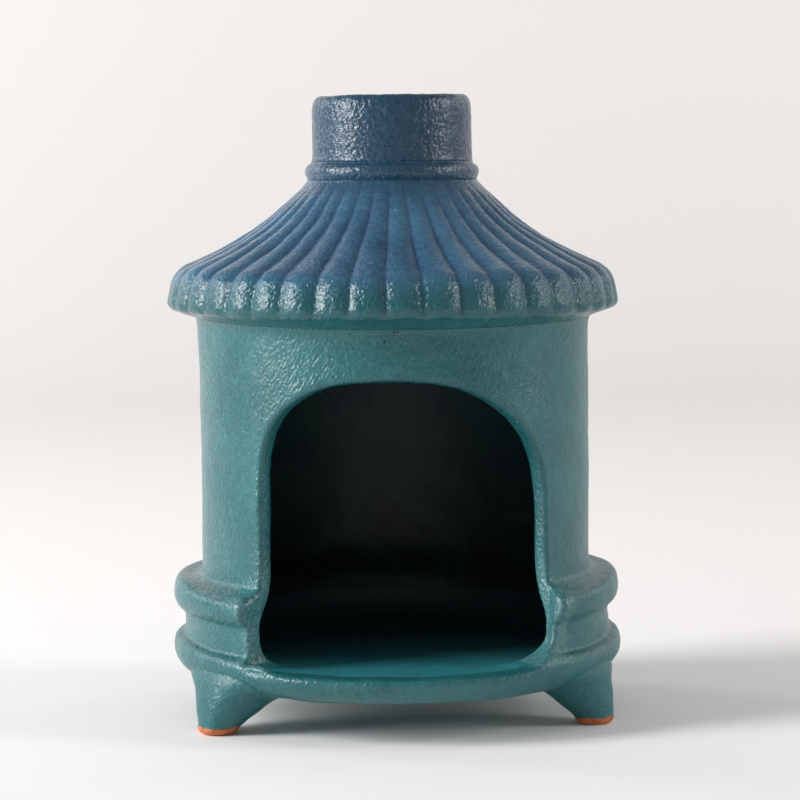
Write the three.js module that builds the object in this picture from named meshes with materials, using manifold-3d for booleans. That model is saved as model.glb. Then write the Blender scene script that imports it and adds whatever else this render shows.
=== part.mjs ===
// Small glazed terracotta chiminea: a drum-shaped firebox with an arched
// doorway on a moulded base tray, a fluted roof with an eave, a beaded collar
// and a short open flue, standing on three stub feet.
//
// Units: millimetres. +Z is up, the origin is the centre of the footprint on
// the surface that it stands on, and the doorway faces -Y.
// Every member is a solid of its own. Neighbours meet in rebated or socketed
// joints with a 0.3 mm slip joint between them.

import * as THREE from 'three';
import { mergeVertices } from 'three/addons/utils/BufferGeometryUtils.js';
import Module from 'manifold-3d';

const wasm = await Module();
wasm.setup();

// ---------------------------------------------------------------- dimensions

const HEIGHT = 220;                 // foot to rim
const JOINT = 0.3;                  // slip joint between members

const DRUM_R = 69.8;                // outside of the firebox wall
const DRUM_IN_R = 63.4;             // inside of the firebox wall
const RING_R = 80.2;                // crest of the lower base moulding
const UPPER_RING_R = 79.9;          // crest of the upper base moulding
const WAIST_R = 75.9;               // groove between the two mouldings
const BULGE_IN_R = 69.3;            // inside of the wall behind the mouldings

const UNDERSIDE_Z = 15.2;           // flat underside of the base tray
const FLOOR_Z = 23.2;               // firebox floor
const SILL_Z = 23.5;                // lip across the doorway
const TRAY_TOP_Z = 34.3;            // tray rim, in the waist groove
const LAP = 2.0;                    // height of the rebates
const DRUM_TOP_Z = 140.7;           // top of the drum wall
const NECK_Z = 190.6;               // top of the roof neck

const DOOR_HALF = 45.2;             // half-angle of the doorway, degrees
const DOOR_TOP_Z = 123.2;           // crown of the arch

const EAVE_R = 80.2;                // eave, over the rib crests
const RIBS = 40;                    // ribs round the roof
const RIB_STEPS = 4;                // segments per rib

const BEAD_R = 30.95;               // crest of the collar bead
const BEAD_BORE_R = 26.8;           // bore of the collar
const FLUE_R = 28.3;                // outside of the chimney pipe
const FLUE_BORE_R = 22.5;           // bore of the flue
const SPIGOT_R = 24.6;              // spigot of the pipe in the roof neck

const FOOT_PAD_R = 4.6;             // flat contact patch of a foot
const FOOT_R = 7.0;                 // foot just above its rounded bottom
const FEET = [
  // name, bearing from -Y towards +X in degrees, radius of its centre,
  // growth of radius, lean inwards
  ['front_left_foot', -56.0, 76.2, 0.60, 0.66],
  ['front_right_foot', 61.6, 74.6, 0.52, 0.60],
  ['rear_foot', 182.5, 73.2, 0.55, 0.62],
];

const BODY_SEGMENTS = 64;
const NECK_SEGMENTS = 40;
const FOOT_SEGMENTS = 20;

// ------------------------------------------------------------------- helpers

const rad = (deg) => (deg * Math.PI) / 180;

// A solid of revolution about +Z from [radius, height] pairs. The angle starts
// at -Y and grows towards +X.
function turned(profile, segments) {
  const points = profile.map(([r, z]) => new THREE.Vector2(r, z));
  const geometry = new THREE.LatheGeometry(points, segments);
  geometry.rotateX(Math.PI / 2);
  return geometry;
}

// Keeps position only and joins the shared vertices.
function welded(geometry) {
  const g = geometry.clone();
  g.deleteAttribute('normal');
  g.deleteAttribute('uv');
  return mergeVertices(g, 1e-4);
}

// Signed volume, to turn a solid's faces outwards.
function signedVolume(g) {
  const p = g.attributes.position;
  const index = g.index.array;
  const a = new THREE.Vector3();
  const b = new THREE.Vector3();
  const c = new THREE.Vector3();
  let volume = 0;
  for (let i = 0; i < index.length; i += 3) {
    a.fromBufferAttribute(p, index[i]);
    b.fromBufferAttribute(p, index[i + 1]);
    c.fromBufferAttribute(p, index[i + 2]);
    volume += a.dot(b.cross(c)) / 6;
  }
  return volume;
}

// A clean closed mesh: welded, without collapsed triangles, facing outwards.
function closed(geometry) {
  const g = welded(geometry);
  const source = g.index.array;
  const kept = [];
  for (let i = 0; i < source.length; i += 3) {
    const [u, v, w] = [source[i], source[i + 1], source[i + 2]];
    if (u !== v && v !== w && w !== u) kept.push(u, v, w);
  }
  g.setIndex(kept);
  if (signedVolume(g) < 0) {
    for (let i = 0; i < kept.length; i += 3) {
      [kept[i + 1], kept[i + 2]] = [kept[i + 2], kept[i + 1]];
    }
    g.setIndex(kept);
  }
  return g;
}

function toManifold(geometry) {
  const g = closed(geometry);
  return new wasm.Manifold(new wasm.Mesh({
    numProp: 3,
    vertProperties: new Float32Array(g.attributes.position.array),
    triVerts: new Uint32Array(g.index.array),
  }));
}

function fromManifold(solid) {
  const mesh = solid.getMesh();
  const g = new THREE.BufferGeometry();
  const count = mesh.vertProperties.length / mesh.numProp;
  const position = new Float32Array(count * 3);
  for (let i = 0; i < count; i++) {
    for (let k = 0; k < 3; k++) {
      position[3 * i + k] = mesh.vertProperties[mesh.numProp * i + k];
    }
  }
  g.setAttribute('position', new THREE.BufferAttribute(position, 3));
  g.setIndex(Array.from(mesh.triVerts));
  g.computeVertexNormals();
  return g;
}

function piece(name, geometry, color, roughness) {
  const material = new THREE.MeshStandardMaterial({ color, roughness, metalness: 0 });
  const mesh = new THREE.Mesh(geometry, material);
  mesh.name = name;
  return mesh;
}

// ------------------------------------------------------------------- doorway

// Outline of the doorway on the unrolled wall: [bearing in degrees, height].
// The doorway was cut by hand: it meets the sill in a tight corner on the left
// and a wide one on the right, and its left shoulder is the squarer one.
const DOOR_OUTLINE = [
  [-38, SILL_Z], [-41.5, 23.7], [-43.6, 24.5], [-44.7, 26.2], [-45.1, 29],
  [-DOOR_HALF, 39], [-DOOR_HALF, 62], [-DOOR_HALF, 84], [-44.7, 92],
  [-43.9, 98], [-42.3, 103.6], [-39.6, 108.6], [-36.3, 112.5], [-31.4, 116.5],
  [-26.4, 119.2], [-20.6, 121.4], [-13, 122.7], [-4.4, DOOR_TOP_Z],
  [4.4, 122.9], [12.8, 121.3], [18.0, 119.4], [22.4, 117.2], [27.2, 114.2],
  [32.2, 110.2], [37.4, 104.6], [41.0, 98.4], [43.6, 91.4], [44.9, 84.5],
  [DOOR_HALF, 74.9], [DOOR_HALF, 56], [DOOR_HALF, 39], [44.9, 36],
  [43.2, 31.8], [40.4, 28.2], [36, 25.2], [29, SILL_Z],
];

// The doorway as a cutter: the outline is extruded and the extrusion is then
// wrapped round the axis, so its sides are radial.
function doorwayCutter(innerR, outerR) {
  const shape = new THREE.Shape(
    DOOR_OUTLINE.map(([bearing, z]) => new THREE.Vector2(bearing, z)),
  );
  const geometry = new THREE.ExtrudeGeometry(shape, {
    depth: outerR - innerR, steps: 1, bevelEnabled: false,
  });
  const p = geometry.attributes.position;
  for (let i = 0; i < p.count; i++) {
    const bearing = rad(p.getX(i));
    const z = p.getY(i);
    const r = innerR + p.getZ(i);
    p.setXYZ(i, r * Math.sin(bearing), -r * Math.cos(bearing), z);
  }
  return toManifold(geometry);
}

const doorway = doorwayCutter(46, 150);

// ----------------------------------------------------------------- base tray

// Underside and lower moulding, from the axis outwards and up to the waist.
const TRAY_OUTSIDE = [
  [0, UNDERSIDE_Z], [70.2, UNDERSIDE_Z], [73.0, 15.9], [75.3, 17.0],
  [77.4, 18.6], [79.0, 20.6], [79.95, 22.6], [RING_R, 24.3], [79.9, 26.3],
  [79.2, 27.6], [78.0, 28.4], [76.6, 28.8], [WAIST_R, 29.8],
];

function baseTray() {
  const profile = [
    ...TRAY_OUTSIDE,
    [WAIST_R, TRAY_TOP_Z],
    [72.7, TRAY_TOP_Z],
    [72.4, TRAY_TOP_Z + LAP],
    [69.2, TRAY_TOP_Z + LAP],
    [69.0, 32.5],
    [67.6, 28.4],
    [64.6, 25.0],
    [59.5, FLOOR_Z],
    [0, FLOOR_Z],
  ];
  const solid = toManifold(turned(profile, BODY_SEGMENTS)).subtract(doorway);
  return fromManifold(solid);
}

// -------------------------------------------------------------- firebox drum

function fireboxDrum() {
  const foot = TRAY_TOP_Z + JOINT;
  const profile = [
    [72.7, foot],
    [WAIST_R, foot], [WAIST_R, 36.9], [76.3, 38.2], [77.2, 39.2],
    [78.4, 40.6], [79.4, 42.2], [UPPER_RING_R, 44.6], [79.7, 47.0],
    [79.1, 48.7], [78.1, 49.9], [76.6, 50.5], [73.0, 50.3], [70.9, 50.1],
    [70.0, 50.9], [DRUM_R - 0.1, 53],
    [DRUM_R - 0.15, 62], [DRUM_R, 110], [70.05, 136], [70.25, DRUM_TOP_Z],
    [67.3, DRUM_TOP_Z],
    [67.2, DRUM_TOP_Z - LAP],
    [DRUM_IN_R, DRUM_TOP_Z - LAP],
    [DRUM_IN_R, 58],
    [64.4, 51],
    [66.8, 45.2],
    [68.6, 41],
    [BULGE_IN_R, foot + LAP],
    [72.7, foot + LAP],
    [72.7, foot],
  ];
  const solid = toManifold(turned(profile, BODY_SEGMENTS)).subtract(doorway);
  return fromManifold(solid);
}

// ----------------------------------------------------------------- roof cone

// Rib crests from the under-bevel up to the neck, with the depth of the
// grooves between the ribs at each height.
const ROOF_OUTSIDE = [
  // radius, height, groove depth
  [70.45, DRUM_TOP_Z + JOINT, 0],
  [78.7, 144.6, 0],
  [79.7, 145.5, 0.9],
  [EAVE_R, 147.6, 1.35],
  [78.4, 156.0, 1.35],
  [75.6, 159.6, 1.35],
  [70.4, 162.1, 1.35],
  [59.5, 167.5, 1.3],
  [47.8, 174.6, 1.05],
  [38.2, 182.4, 0.6],
  [33.4, 187.1, 0.25],
  [30.4, NECK_Z, 0],
];

const ROOF_INSIDE = [
  [SPIGOT_R + JOINT, NECK_Z], [SPIGOT_R + JOINT, 187.6],
  [22.9, 187.6], [22.9, 185.8], [43.0, 170.5],
  [64.3, 156.6], [64.3, DRUM_TOP_Z + JOINT - LAP],
  [66.9, DRUM_TOP_Z + JOINT - LAP], [67.0, DRUM_TOP_Z + JOINT],
];

function roofCone() {
  const outside = ROOF_OUTSIDE.map(([r, z]) => [r, z]);
  const profile = [...outside, ...ROOF_INSIDE, outside[0]];
  const segments = RIBS * RIB_STEPS;
  const geometry = turned(profile, segments);
  const p = geometry.attributes.position;
  const perRow = profile.length;
  for (let s = 0; s <= segments; s++) {
    const phase = (s % RIB_STEPS) / RIB_STEPS;
    const fromCrest = 2 * Math.min(phase, 1 - phase);
    const groove = fromCrest * fromCrest;
    const bearing = (2 * Math.PI * s) / segments;
    for (let j = 0; j < ROOF_OUTSIDE.length; j++) {
      const depth = ROOF_OUTSIDE[j][2] * groove;
      if (depth === 0) continue;
      // inward normal of the crest profile at this level
      const [r0, z0] = outside[j - 1];
      const [r1, z1] = outside[j + 1];
      const length = Math.hypot(r1 - r0, z1 - z0);
      const nr = -(z1 - z0) / length;
      const nz = (r1 - r0) / length;
      const r = outside[j][0] + depth * nr;
      const z = outside[j][1] + depth * nz;
      p.setXYZ(s * perRow + j, r * Math.sin(bearing), -r * Math.cos(bearing), z);
    }
  }
  const g = closed(geometry);
  g.computeVertexNormals();
  return g;
}

// ------------------------------------------------------- collar and chimney

function chimneyCollar() {
  const seat = NECK_Z + JOINT;
  const profile = [
    [BEAD_BORE_R, seat], [30.45, seat], [30.8, 192.0], [BEAD_R, 193.2],
    [30.8, 194.5], [30.3, 195.3], [29.6, 196.1], [29.0, 196.75],
    [BEAD_BORE_R, 196.75], [BEAD_BORE_R, seat],
  ];
  const g = closed(turned(profile, NECK_SEGMENTS));
  g.computeVertexNormals();
  return g;
}

function chimneyPipe() {
  const foot = NECK_Z + JOINT;
  const profile = [
    [FLUE_BORE_R, 187.9],
    [SPIGOT_R, 187.9],
    [SPIGOT_R, foot],
    [BEAD_BORE_R - JOINT, foot],
    [BEAD_BORE_R - JOINT, 197.05],
    [28.75, 197.05],
    [28.5, 200],
    [FLUE_R, 210], [FLUE_R, 214.5], [27.9, 217.6], [26.9, 219.4],
    [25.6, HEIGHT],
    [24.6, HEIGHT], [23.3, 219.3], [FLUE_BORE_R, 217.4],
    [FLUE_BORE_R, 187.9],
  ];
  const g = closed(turned(profile, NECK_SEGMENTS));
  g.computeVertexNormals();
  return g;
}

// ---------------------------------------------------------------------- feet

// The tray's underside grown by the slip joint: a foot is scribed to it.
const trayBed = toManifold(turned([
  [0, UNDERSIDE_Z - JOINT], [70.1, UNDERSIDE_Z - JOINT], [73.15, 15.6],
  [75.5, 16.75], [77.65, 18.35], [79.3, 20.4], [80.25, 22.5], [80.5, 24.3],
  [0, 24.3],
], BODY_SEGMENTS));

// The outer side of a foot is drawn in at the top to meet the moulding.
const footRoom = toManifold(turned([
  [0, -1], [86, -1], [85.4, 11], [83.6, 15], [81.4, 17.7], [79.9, 19.4],
  [0, 19.4],
], BODY_SEGMENTS));

// A stub foot: a round cone that leans inwards as it widens upwards, so its
// outer side stays upright under the moulding.
function stubFoot(bearingDeg, centreR, growth, lean) {
  const top = 19.4;
  const profile = [
    [0, 0], [FOOT_PAD_R, 0], [5.8, 0.45], [6.6, 1.4], [FOOT_R, 2.8],
    [FOOT_R + growth * 6, 8.8],
    [FOOT_R + growth * (top - 2.8), top],
    [0, top],
  ];
  const geometry = turned(profile, FOOT_SEGMENTS);
  const bearing = rad(bearingDeg);
  const p = geometry.attributes.position;
  for (let i = 0; i < p.count; i++) {
    const z = p.getZ(i);
    const r = centreR - lean * Math.max(0, z - 2.0);
    p.setXYZ(
      i,
      p.getX(i) + r * Math.sin(bearing),
      p.getY(i) - r * Math.cos(bearing),
      z,
    );
  }
  return fromManifold(toManifold(geometry).subtract(trayBed).intersect(footRoom));
}

// ------------------------------------------------------------------ assembly

const TEAL = 0x3f8488;
const TEAL_DEEP = 0x2f7a80;
const BLUE = 0x34597a;
const BLUE_DEEP = 0x2c4c6b;

const chiminea = new THREE.Group();
chiminea.add(
  piece('base_tray', baseTray(), TEAL_DEEP, 0.45),
  piece('firebox_drum', fireboxDrum(), TEAL, 0.45),
  piece('roof_cone', roofCone(), BLUE, 0.5),
  piece('chimney_collar', chimneyCollar(), BLUE_DEEP, 0.42),
  piece('chimney_pipe', chimneyPipe(), BLUE_DEEP, 0.4),
);
for (const [name, bearing, centreR, growth, lean] of FEET) {
  chiminea.add(piece(name, stubFoot(bearing, centreR, growth, lean), TEAL, 0.45));
}

export default chiminea;
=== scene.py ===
import math

import bpy
import numpy as np
from mathutils import Matrix, Vector


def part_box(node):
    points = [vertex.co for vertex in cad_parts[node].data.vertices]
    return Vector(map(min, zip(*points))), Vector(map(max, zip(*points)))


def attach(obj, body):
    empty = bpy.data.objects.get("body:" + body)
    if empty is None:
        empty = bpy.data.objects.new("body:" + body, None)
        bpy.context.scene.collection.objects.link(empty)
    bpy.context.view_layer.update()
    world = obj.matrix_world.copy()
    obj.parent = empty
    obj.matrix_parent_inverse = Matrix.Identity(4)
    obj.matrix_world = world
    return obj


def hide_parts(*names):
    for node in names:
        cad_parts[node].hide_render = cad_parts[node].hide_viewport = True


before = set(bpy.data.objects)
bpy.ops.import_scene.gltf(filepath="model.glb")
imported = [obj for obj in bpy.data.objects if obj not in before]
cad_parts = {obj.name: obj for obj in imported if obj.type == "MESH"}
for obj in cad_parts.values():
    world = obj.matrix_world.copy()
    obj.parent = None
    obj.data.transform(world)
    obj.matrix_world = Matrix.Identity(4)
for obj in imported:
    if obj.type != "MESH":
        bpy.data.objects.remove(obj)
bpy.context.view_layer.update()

# ---------------------------------------------------------------------------
# Looks of a small glazed terracotta chiminea. Lengths here are millimetres in
# the part's own frame (+Z up, doorway towards -Y) and become metres at the end.
# ---------------------------------------------------------------------------

MM = 0.001
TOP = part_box("chimney_pipe")[1].z / MM            # rim height, 220
K = TOP / 220.0                                   # profile tables are for 220
RIM_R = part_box("roof_cone")[1].x / MM             # eave radius over the crests
rng = np.random.default_rng(588)


# ------------------------------------------------------------------ numerics

def smooth_line(points, n, closed=False):
    """n points along a centripetal Catmull-Rom curve through the given points."""
    p = np.asarray(points, float)
    if closed:
        p = np.vstack([p[-1], p, p[0], p[1]])
    else:
        p = np.vstack([2 * p[0] - p[1], p, 2 * p[-1] - p[-2]])
    out = []
    per = 24
    for a, b, c, d in zip(p[:-3], p[1:-2], p[2:-1], p[3:]):
        t0 = 0.0
        t1 = t0 + max(np.linalg.norm(b - a), 1e-6) ** 0.5
        t2 = t1 + max(np.linalg.norm(c - b), 1e-6) ** 0.5
        t3 = t2 + max(np.linalg.norm(d - c), 1e-6) ** 0.5
        t = np.linspace(t1, t2, per, endpoint=False)[:, None]
        a1 = (t1 - t) / (t1 - t0) * a + (t - t0) / (t1 - t0) * b
        a2 = (t2 - t) / (t2 - t1) * b + (t - t1) / (t2 - t1) * c
        a3 = (t3 - t) / (t3 - t2) * c + (t - t2) / (t3 - t2) * d
        b1 = (t2 - t) / (t2 - t0) * a1 + (t - t0) / (t2 - t0) * a2
        b2 = (t3 - t) / (t3 - t1) * a2 + (t - t1) / (t3 - t1) * a3
        out.append((t2 - t) / (t2 - t1) * b1 + (t - t1) / (t2 - t1) * b2)
    out.append(p[-2][None] if not closed else p[1][None])
    dense = np.vstack(out)
    s = np.r_[0, np.cumsum(np.linalg.norm(np.diff(dense, axis=0), axis=1))]
    want = np.linspace(0, s[-1], n, endpoint=not closed)
    return np.stack([np.interp(want, s, dense[:, k]) for k in range(2)], 1)


def polygon_distance(px, py, poly):
    """Signed distance to a closed polygon, negative inside."""
    shape = px.shape
    x, y = px.ravel(), py.ravel()
    best = np.full(x.shape, 1e18)
    inside = np.zeros(x.shape, bool)
    q = np.roll(poly, -1, 0)
    for (x0, y0), (x1, y1) in zip(poly, q):
        dx, dy = x1 - x0, y1 - y0
        t = np.clip(((x - x0) * dx + (y - y0) * dy) / max(dx * dx + dy * dy, 1e-12), 0, 1)
        best = np.minimum(best, (x - x0 - t * dx) ** 2 + (y - y0 - t * dy) ** 2)
        cond = (y0 > y) != (y1 > y)
        if dy != 0:
            inside ^= cond & (x < dx * (y - y0) / dy + x0)
    d = np.sqrt(best)
    return np.where(inside, -d, d).reshape(shape)


def round_and(a, b, r):
    return np.minimum(-r, np.maximum(a, b)) + np.sqrt(
        np.maximum(a + r, 0) ** 2 + np.maximum(b + r, 0) ** 2)


def soft_or(a, b, k):
    h = np.clip(0.5 + 0.5 * (b - a) / k, 0, 1)
    return b * (1 - h) + a * h - k * h * (1 - h)


def surface_nets(F, wrap=False, square=()):
    """Vertices in index space and quads of the zero surface of a sampled field.
    Cells in the layers named by square keep a right-angled corner."""
    nu = F.shape[0]
    G = np.concatenate([F, F[:1]], 0) if wrap else F
    S = G < 0
    n = [s - 1 for s in G.shape]
    cnt = np.zeros(n, np.int16)
    pos = np.zeros(n + [3])
    own = np.zeros(n + [3])
    own_n = np.zeros(n + [3], np.int16)
    crossings = []
    for ax in range(3):
        lo = [slice(None)] * 3
        hi = [slice(None)] * 3
        lo[ax], hi[ax] = slice(0, -1), slice(1, None)
        f0, f1 = G[tuple(lo)], G[tuple(hi)]
        cross = S[tuple(lo)] != S[tuple(hi)]
        t = np.where(cross, f0 / np.where(f0 == f1, 1, f0 - f1), 0)
        crossings.append((cross, S[tuple(lo)]))
        others = [k for k in range(3) if k != ax]
        for a in (0, 1):
            for b in (0, 1):
                sl = [slice(None)] * 3
                sl[others[0]] = slice(a, a + n[others[0]])
                sl[others[1]] = slice(b, b + n[others[1]])
                c = cross[tuple(sl)]
                cnt += c
                pos[..., ax] += t[tuple(sl)] * c
                own[..., ax] += t[tuple(sl)] * c
                own_n[..., ax] += c
                pos[..., others[0]] += a * c
                pos[..., others[1]] += b * c
    mask = cnt > 0
    ids = np.full(n, -1, np.int64)
    ids[mask] = np.arange(mask.sum())
    cell = np.argwhere(mask)
    inner = pos[mask] / cnt[mask][:, None]
    if len(square):
        o, on = own[mask], own_n[mask]
        hit = np.isin(cell[:, 2], square)[:, None] & (on > 0)
        inner = np.where(hit, o / np.maximum(on, 1), inner)
    verts = cell + inner
    quads = []
    for ax in range(3):
        cross, inside = crossings[ax]
        o1, o2 = [(1, 2), (2, 0), (0, 1)][ax]
        idx = np.argwhere(cross)
        if wrap:
            idx = idx[idx[:, 0] < nu]
        keep = np.ones(len(idx), bool)
        for o in (o1, o2):
            if wrap and o == 0:
                continue
            keep &= (idx[:, o] >= 1) & (idx[:, o] <= n[o] - 1)
        idx = idx[keep]
        corners = []
        for d1, d2 in ((-1, -1), (0, -1), (0, 0), (-1, 0)):
            c = idx.copy()
            c[:, o1] += d1
            c[:, o2] += d2
            if wrap:
                c[:, 0] %= nu
            corners.append(ids[c[:, 0], c[:, 1], c[:, 2]])
        q = np.stack(corners, 1)
        flip = ~inside[idx[:, 0], idx[:, 1], idx[:, 2]]
        q[flip] = q[flip][:, ::-1]
        quads.append(q)
    quads = np.vstack(quads)
    quads = quads[(quads >= 0).all(1)]
    return verts, quads


def waves(p, wavelengths, amplitude, seed, count=28):
    """Band-limited seeded noise: plane waves in random directions."""
    g = np.random.default_rng(seed)
    d = g.normal(size=(count, 3))
    d /= np.linalg.norm(d, axis=1)[:, None]
    lam = np.exp(g.uniform(np.log(wavelengths[0]), np.log(wavelengths[1]), count))
    ph = g.uniform(0, 2 * np.pi, count)
    out = np.zeros(len(p))
    for k in range(count):
        out += np.sin((p @ d[k]) * (2 * np.pi / lam[k]) + ph[k])
    return out * amplitude * math.sqrt(2.0 / count)


def face_arrays(quads, tris):
    tris = np.zeros((0, 3), np.int64) if tris is None else np.asarray(tris, np.int64)
    return np.asarray(quads, np.int64).reshape(-1, 4), tris.reshape(-1, 3)


def normals_of(v, quads, tris=None):
    quads, tris = face_arrays(quads, tris)
    n = np.zeros_like(v)
    if len(quads):
        fn = np.cross(v[quads[:, 2]] - v[quads[:, 0]], v[quads[:, 3]] - v[quads[:, 1]])
        for k in range(4):
            np.add.at(n, quads[:, k], fn)
    if len(tris):
        fn = np.cross(v[tris[:, 1]] - v[tris[:, 0]], v[tris[:, 2]] - v[tris[:, 0]])
        for k in range(3):
            np.add.at(n, tris[:, k], fn)
    return n / np.maximum(np.linalg.norm(n, axis=1)[:, None], 1e-12)


def bend_measure(v, quads, rounds=3):
    """How far each vertex stands proud of its neighbours, smoothed: convex is positive, mm."""
    n = normals_of(v, quads)
    a = quads.ravel()
    b = np.roll(quads, -1, 1).ravel()
    src, dst = np.r_[a, b], np.r_[b, a]
    deg = np.bincount(src, minlength=len(v)).astype(float)
    deg[deg == 0] = 1

    def mean(x):
        return np.stack([np.bincount(src, weights=x[dst, k], minlength=len(v)) / deg
                         for k in range(x.shape[1])], 1)
    s = v
    for _ in range(rounds):
        s = 0.5 * s + 0.5 * mean(s)
    c = np.einsum("ij,ij->i", v - s, n)[:, None]
    for _ in range(3):
        c = 0.5 * c + 0.5 * mean(c)
    return c[:, 0]


# ---------------------------------------------------------- hand-made leaning

def ease(x, a, b):
    t = np.clip((x - a) / (b - a), 0, 1)
    return t * t * (3 - 2 * t)


def settle(v):
    """The small tilts and sags that the clay took in making and firing."""
    out = v.copy()
    x, y, z = v.T
    r = np.hypot(x, y)
    side = np.degrees(np.abs(np.arctan2(x, -y)))          # 0 at the doorway, 180 behind
    tilt = np.interp(z, [0, 10, 24, 30, 50, 64, 90, 140, 204, 214, 220],
                     [0, 0, -.002, .0015, .0045, .003, -.002, -.0045, -.0045, -.001, .005])
    dz = tilt * x
    # the top of the lower moulding dips towards the doorway
    dz += (np.interp(side, [0, 45, 60, 80, 100, 180], [-1.4, -1.4, -1.1, .4, 1.3, 1.4])
           * np.interp(z, [22, 27, 31.5, 36], [0, 1, 1, 0]) * ease(r, 68, 74) * ease(side, 38, 46))
    dz += .45 * np.clip(-x / 60, 0, 1) * np.interp(z, [22, 27, 31.5, 36], [0, 1, 1, 0]) * ease(r, 68, 74)
    # the upper moulding is pressed down and outwards where it meets the doorway
    up = np.interp(z, [41.5, 45, 50.2, 52], [0, .55, 1, 0])
    dz -= .8 * np.interp(z, [15, 20, 23.5], [1, .6, 0]) * ease(r, 60, 70) * (1 - ease(side, 25, 55))
    dz -= 2.3 * up * ease(r, 70.6, 77.5) * (1 - ease(side, 50, 84)) * ease(side, 30, 40)
    dz += .7 * np.interp(z, [45, 50, 53, 58], [0, 1, 1, 0]) * ease(r, 69, 71) * ease(side, 66, 90)
    # the crease under the eave rises round the sides
    dz += (2.0 * (1 - np.cos(np.radians(np.minimum(side, 90))))
           * np.interp(z, [133, 140.7, 141.7, 144.8, 147.5], [0, 1, .85, .3, 0]) * ease(r, 60, 66))
    out[:, 2] += dz
    out[:, 0] += np.interp(z, SWAY_Z, SWAY_X)
    return out


SWAY_Z = [0, 24, 45, 100, 140, 160, 197, 220]
SWAY_X = [.42, .42, 0, 0, 0, 0, .3, .35]


# --------------------------------------------------------------- mesh making

PIECES = {}


def make(name, v, quads, node, tris=None, attrs=None, flip=None, flat=None):
    quads, tris = face_arrays(quads, tris)
    if flip is None:
        vol = 0.0
        for f in ((0, 1, 2), (0, 2, 3)):
            if len(quads):
                vol += np.einsum("ij,ij->", v[quads[:, f[0]]],
                                 np.cross(v[quads[:, f[1]]], v[quads[:, f[2]]]))
        if len(tris):
            vol += np.einsum("ij,ij->", v[tris[:, 0]], np.cross(v[tris[:, 1]], v[tris[:, 2]]))
        flip = vol < 0
    if flip:
        quads, tris = quads[:, ::-1], tris[:, ::-1]
    me = bpy.data.meshes.new(name)
    w = settle(v) * (MM * K)
    me.vertices.add(len(w))
    me.vertices.foreach_set("co", w.astype(np.float32).ravel())
    nl = 4 * len(quads) + 3 * len(tris)
    me.loops.add(nl)
    me.loops.foreach_set("vertex_index", np.r_[quads.ravel(), tris.ravel()].astype(np.int32))
    me.polygons.add(len(quads) + len(tris))
    start = np.r_[np.arange(len(quads)) * 4, 4 * len(quads) + np.arange(len(tris)) * 3]
    me.polygons.foreach_set("loop_start", start.astype(np.int32))
    me.update(calc_edges=True)
    smooth = np.ones(len(me.polygons), bool)
    if flat is not None:
        smooth[:len(flat)] &= ~flat
    me.polygons.foreach_set("use_smooth", smooth)
    for key, values in (attrs or {}).items():
        layer = me.attributes.new(key, "FLOAT", "POINT")
        layer.data.foreach_set("value", np.asarray(values, np.float32))
    ob = bpy.data.objects.new(name, me)
    bpy.context.scene.collection.objects.link(ob)
    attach(ob, "root")
    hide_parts(node)
    PIECES[name] = ob
    return ob


def loops_to_caps(v, quads, tris=None):
    """Closes each open edge loop with a fan to its centre."""
    quads, tris = face_arrays(quads, tris)
    e = np.vstack([np.stack([quads[:, k], quads[:, (k + 1) % 4]], 1) for k in range(4)]
                  + [np.stack([tris[:, k], tris[:, (k + 1) % 3]], 1) for k in range(3)])
    key = {(int(a), int(b)) for a, b in e}
    open_edges = {a: b for a, b in key if (b, a) not in key}
    v = list(map(tuple, v))
    new = []
    while open_edges:
        start = next(iter(open_edges))
        loop = [start]
        cur = open_edges.pop(start)
        while cur != start and cur in open_edges:
            loop.append(cur)
            cur = open_edges.pop(cur)
        c = tuple(np.mean([v[i] for i in loop], 0))
        ci = len(v)
        v.append(c)
        for a, b in zip(loop, loop[1:] + loop[:1]):
            new.append((b, a, ci))
    return np.array(v), quads, np.vstack([tris, np.array(new, np.int64).reshape(-1, 3)])


# ------------------------------------------------------- sections of the part

DOOR = [
    (-24, 23.45), (-34, 23.45), (-39.5, 23.5), (-42.2, 23.9), (-44.0, 24.8), (-45.0, 26.6),
    (-45.35, 29.5), (-45.4, 35), (-45.4, 41), (-45.2, 47), (-45.1, 55), (-45.1, 66), (-45.1, 77),
    (-45.0, 86), (-44.6, 93), (-43.6, 99), (-42.0, 104), (-39.4, 108.7), (-36.2, 112.6),
    (-31.4, 116.5), (-26.4, 119.3), (-20.6, 121.4), (-13, 122.7), (-4.4, 123.2), (4.4, 122.8),
    (12.8, 121.2), (18.0, 119.3), (22.4, 117.0), (27.2, 113.9), (32.2, 109.8), (37.4, 104.2),
    (41.0, 98.0), (43.4, 91.0), (44.7, 84), (45.1, 75), (45.2, 65), (45.2, 55), (45.0, 47),
    (44.7, 41), (44.2, 36.5), (43.5, 32.6), (41.8, 29.6), (39.0, 27.2), (35.5, 25.2), (31.0, 24.0),
    (26, 23.5), (18, 23.45), (0, 23.45),
]
DOOR_LINE = smooth_line(DOOR, 440, closed=True)
DOOR_REF = 73.0                                    # mm of arc per radian of the unrolled wall
DOOR_MM = np.stack([np.radians(DOOR_LINE[:, 0]) * DOOR_REF, DOOR_LINE[:, 1]], 1)

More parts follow.
